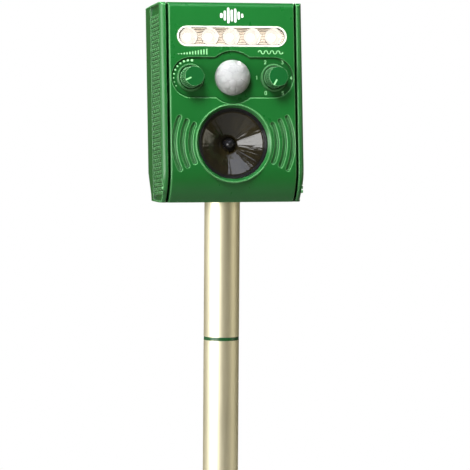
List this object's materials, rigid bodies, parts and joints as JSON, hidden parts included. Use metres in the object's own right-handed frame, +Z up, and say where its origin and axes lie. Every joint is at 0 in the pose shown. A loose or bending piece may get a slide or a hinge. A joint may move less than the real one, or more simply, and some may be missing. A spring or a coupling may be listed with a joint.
{
  "type": "ultrasonic pest repeller",
  "caption": "Garden ultrasonic animal repeller: green head with lamp bar, motion sensor, dials and loudspeaker on a metal ground stake.",
  "frame": {"origin": "on the stake's axis at ground level, the underside of the spike's flange", "axes": "+Z up along the stake, -Y towards the front face with the loudspeaker, +X to the viewer's right"},
  "size_m": [0.102, 0.0762, 0.493],
  "materials": {
    "spike_plastic": "fine texture",
    "tube_metal": "champagne anodised, brushed",
    "joiner_plastic": "semi-gloss",
    "housing_green": "satin moulded",
    "housing_rear_green": "satin moulded",
    "knob_green": "satin",
    "print_light_green": "pad printed",
    "print_white": "pad printed",
    "bezel_white": "satin",
    "clear_lens": "clear",
    "reflector_chrome": "vacuum plated",
    "led_white": "clear dome",
    "sensor_white": "milky translucent",
    "black_plastic": "glossy",
    "driver_black": "matte",
    "rubber_black": "matte",
    "board_green": "solder mask",
    "component_black": "matte",
    "steel": "zinc plated",
    "shaft_steel": "bare",
    "piezo_brass": "bare",
    "solar_cell": "laminated",
    "cell_wrap": "shrink wrap",
    "wire_red": "insulation"
  },
  "bodies": {
    "stake": {"ground_spike": "spike_plastic", "lower_tube": "tube_metal", "tube_joiner": "joiner_plastic", "upper_tube": "tube_metal"},
    "head": {"front_panel": "housing_green", "left_side_cover": "housing_green", "right_side_cover": "housing_green", "rear_housing": "housing_rear_green", "housing_gasket": "rubber_black", "housing_screws": "steel", "solar_frame": "housing_rear_green", "solar_panel": "solar_cell", "front_emblem": "print_white", "dial_marks": "print_light_green", "lamp_bezel": "bezel_white", "lamp_window": "clear_lens", "lamp_reflector": "reflector_chrome", "lamp_leds": "led_white", "lamp_board": "board_green", "lamp_board_screws": "steel", "sensor_dome": "sensor_white", "sensor_retainer": "driver_black", "motion_sensor": "steel", "control_board": "board_green", "control_board_screws": "steel", "board_components": "component_black", "sensitivity_pot": "component_black", "frequency_switch": "component_black", "speaker_horn": "black_plastic", "speaker_plug": "black_plastic", "speaker_gasket": "rubber_black", "speaker_driver": "driver_black", "piezo_disc": "piezo_brass", "battery_tray": "driver_black", "batteries": "cell_wrap", "battery_contacts": "steel", "battery_seal": "rubber_black", "usb_board": "board_green", "usb_port": "steel", "wire_harness": "wire_red"},
    "sensitivity_dial": {"sensitivity_shaft": "shaft_steel", "sensitivity_knob": "knob_green"},
    "frequency_dial": {"frequency_shaft": "shaft_steel", "frequency_knob": "knob_green"},
    "port_cover": {"usb_cover": "driver_black"},
    "battery_lid": {"battery_door": "housing_rear_green", "door_screws": "steel"}
  },
  "joints": [
    {"name": "head_swivel", "type": "hinge", "parent": "stake", "child": "head", "pos_m": [0, 0, 0.2284], "axis": [0, 0, 1], "continuous": true},
    {"name": "sensitivity_turn", "type": "hinge", "parent": "head", "child": "sensitivity_dial", "pos_m": [-0.03, -0.02581, 0.31107], "axis": [0, 0.9954, -0.0958], "range_deg": [-7, 263]},
    {"name": "frequency_turn", "type": "hinge", "parent": "head", "child": "frequency_dial", "pos_m": [0.03, -0.02581, 0.31107], "axis": [0, 0.9954, -0.0958], "range_deg": [0, 300]},
    {"name": "port_cover_hinge", "type": "hinge", "parent": "head", "child": "port_cover", "pos_m": [0, 0.03005, 0.26109], "axis": [1, 0, 0], "range_deg": [0, 110]},
    {"name": "battery_lid_release", "type": "slide", "parent": "head", "child": "battery_lid", "axis": [0, 0.9954, -0.0958], "range_m": [0, 0.03]}
  ]
}
